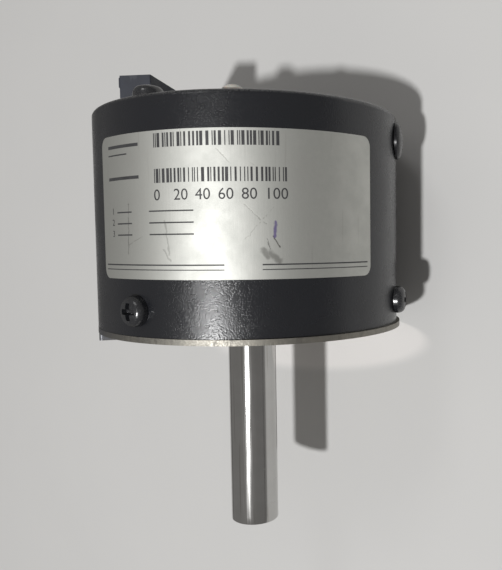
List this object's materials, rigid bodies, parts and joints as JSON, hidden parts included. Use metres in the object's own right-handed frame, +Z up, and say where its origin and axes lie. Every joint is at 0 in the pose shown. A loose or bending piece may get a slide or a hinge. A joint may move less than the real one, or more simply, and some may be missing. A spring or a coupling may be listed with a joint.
{
  "type": "capacitance diaphragm gauge",
  "caption": "Absolute-pressure gauge: a black can over a metal-diaphragm sensor and its circuit boards, with a plain tube port below and a terminal header on top.",
  "frame": {"origin": "centre of the port tube's open end", "axes": "+Z up the port tube's axis to the terminal header; +Y along the header's long side; the label faces -Y, turned a little towards +X"},
  "size_m": [0.0807, 0.0803, 0.1175],
  "materials": {
    "tube_steel": "drawn and polished stainless steel",
    "plate_steel": "raw stainless steel, sheared rim",
    "sensor_alloy": "turned nickel alloy",
    "disc_ceramic": "fired alumina",
    "electrode_metal": "fired noble-metal film",
    "seal_glass": "fused glass bead",
    "pin_metal": "tinned brass",
    "pinch_copper": "annealed copper",
    "getter_metal": "sintered getter metal",
    "board_green": "glass-fibre board with solder mask",
    "plated_steel": "zinc-plated steel",
    "screw_black": "black oxide steel",
    "cover_black": "fine black powder coat",
    "label_foil": "satin foil with a printed face",
    "plug_black": "black nylon",
    "plug_pale": "natural nylon",
    "header_plastic": "dark moulded nylon",
    "trimmer_blue": "moulded trimmer case",
    "capacitor_sleeve": "shrink sleeve",
    "chip_plastic": "moulded epoxy",
    "core_ferrite": "ground ferrite"
  },
  "bodies": {
    "root": {"port_tube": "tube_steel", "base_plate": "plate_steel", "sensor_body": "sensor_alloy", "port_baffle": "sensor_alloy", "diaphragm": "sensor_alloy", "reference_ring": "sensor_alloy", "electrode_spacer": "sensor_alloy", "disc_spring": "sensor_alloy", "sensor_cap": "sensor_alloy", "feedthrough_eyelets": "sensor_alloy", "getter_can": "sensor_alloy", "electrode_disc": "disc_ceramic", "electrodes": "electrode_metal", "glass_seals": "seal_glass", "contact_pins": "pin_metal", "terminal_pins": "pin_metal", "link_pins": "pin_metal", "pinch_off_tube": "pinch_copper", "getter_pellet": "getter_metal", "lower_board": "board_green", "upper_board": "board_green", "base_screws": "plated_steel", "posts": "plated_steel", "board_screws": "plated_steel", "standoffs": "plated_steel", "standoff_nut": "plated_steel", "board_spacers": "plated_steel", "side_screws": "screw_black", "top_screws": "screw_black", "cover": "cover_black", "label": "label_foil", "side_plug": "plug_black", "top_plug": "plug_pale", "terminal_header": "header_plastic", "zero_trimmer": "trimmer_blue", "span_trimmer": "trimmer_blue", "capacitors": "capacitor_sleeve", "signal_chips": "chip_plastic", "regulators": "chip_plastic", "link_strips": "chip_plastic", "bridge_transformer": "core_ferrite"}
  },
  "joints": []
}
